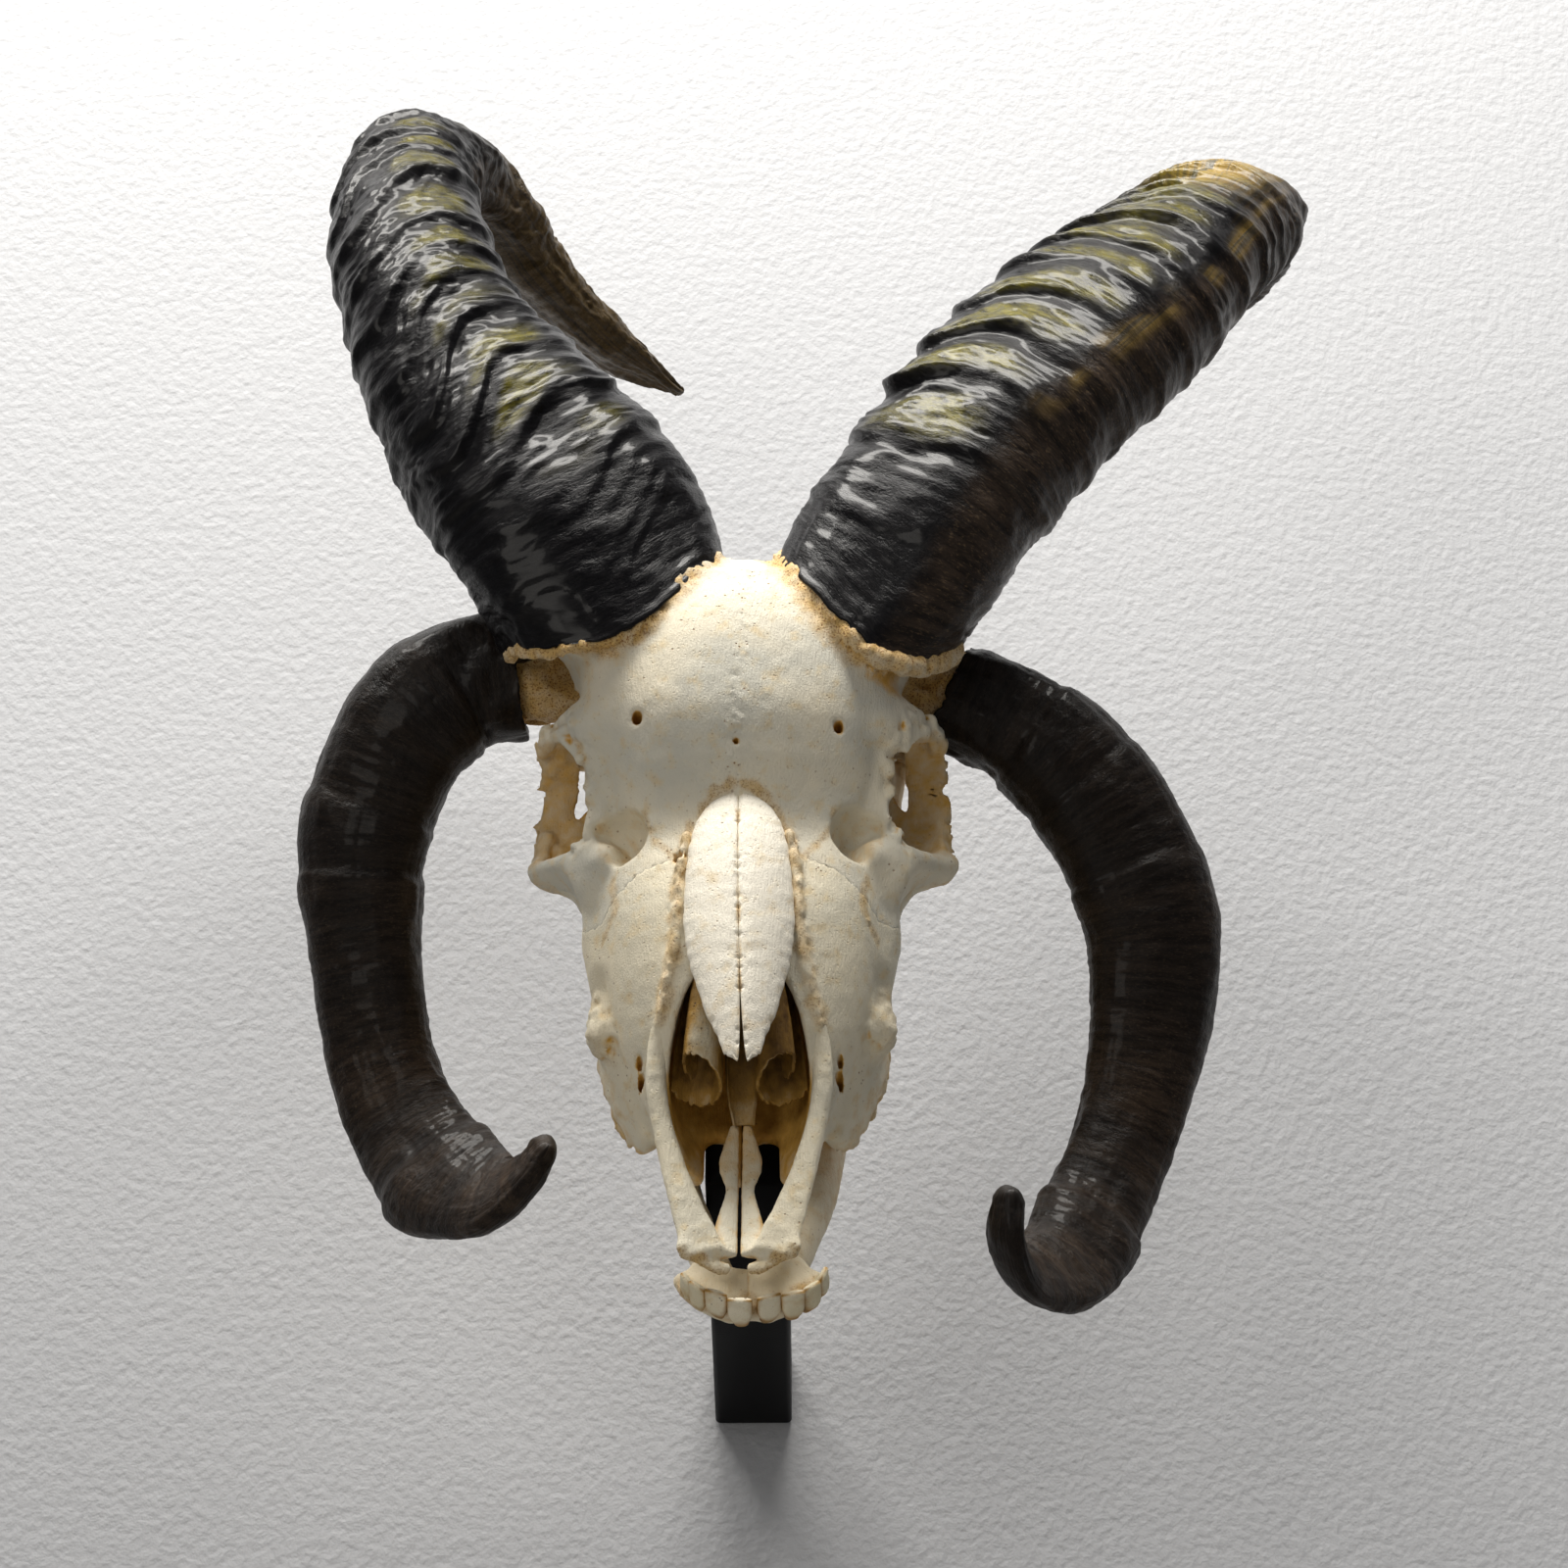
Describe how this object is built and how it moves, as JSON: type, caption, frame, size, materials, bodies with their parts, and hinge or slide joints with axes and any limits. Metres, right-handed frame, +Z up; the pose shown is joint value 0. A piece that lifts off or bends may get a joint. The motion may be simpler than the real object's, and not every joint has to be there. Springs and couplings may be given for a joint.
{
  "type": "four-horned ram skull on a wall bracket",
  "caption": "Life-size skull of a polycerate ram with tall ridged upper horns, curled side horns and its lower jaw, held off a wall by a black square bar.",
  "frame": {"origin": "centre of the bracket bar's end face, where it meets the wall", "axes": "+Z up, +Y into the wall along the bar, +X towards the ram's own left, so the face looks along -Y"},
  "size_m": [0.3257, 0.2509, 0.455],
  "materials": {
    "bone": "dry cleaned bone, ivory white",
    "inner_bone": "thin inner bone, amber",
    "jaw_bone": "dry bone and tooth enamel, cream",
    "dark_horn": "ridged horn keratin, near black with olive patches, satin",
    "brown_horn": "finely streaked horn keratin, dark brown, satin",
    "black_paint": "matte black"
  },
  "bodies": {
    "root": {"cranium": "bone", "nasal_left": "bone", "nasal_right": "bone", "premaxilla_left": "bone", "premaxilla_right": "bone", "maxilla_left": "bone", "maxilla_right": "bone", "vomer": "inner_bone", "concha_left": "inner_bone", "concha_right": "inner_bone", "mandible_left": "jaw_bone", "mandible_right": "jaw_bone", "horn_upper_left": "dark_horn", "horn_upper_right": "dark_horn", "horn_lower_left": "brown_horn", "horn_lower_right": "brown_horn", "bracket_bar": "black_paint"}
  },
  "joints": []
}
